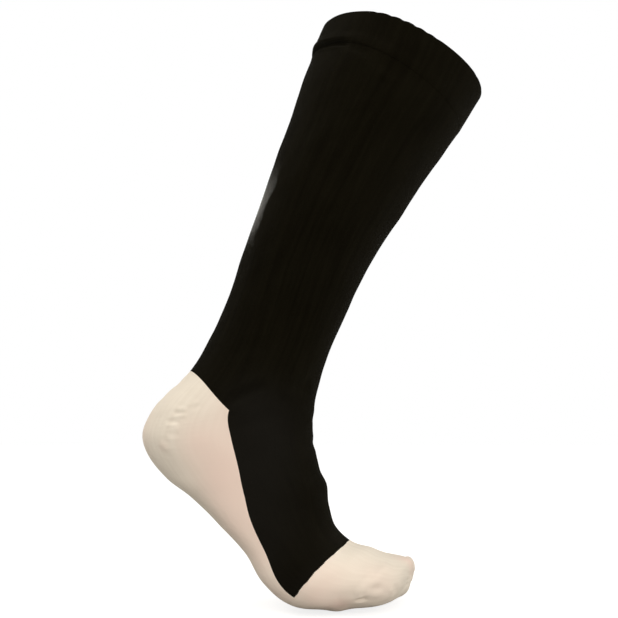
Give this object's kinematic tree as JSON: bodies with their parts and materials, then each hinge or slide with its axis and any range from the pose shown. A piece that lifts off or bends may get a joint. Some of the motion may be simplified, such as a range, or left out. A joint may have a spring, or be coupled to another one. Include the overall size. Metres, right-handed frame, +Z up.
{
  "type": "dress sock",
  "caption": "Over-the-calf knitted dress sock in its worn form, hollow and open at the turned welt, with an ivory heel, sole and toe.",
  "frame": {"origin": "centre of the leg opening at the rim of the welt, where the wearer's calf holds the sock up", "axes": "+X to the toes, +Y to the big-toe side, +Z up; the heel is raised and the leg leans forward and away to +Y"},
  "size_m": [0.2483, 0.1337, 0.4257],
  "materials": {
    "black_knit": "fine black plain knit with a faint rib along the leg, matt with a low sheen",
    "ivory_knit": "ivory plain knit, soft and matt"
  },
  "bodies": {
    "root": {"welt_band": "black_knit", "leg": "black_knit", "instep": "black_knit", "heel": "ivory_knit", "sole": "ivory_knit", "toe_cap": "ivory_knit"}
  },
  "joints": []
}
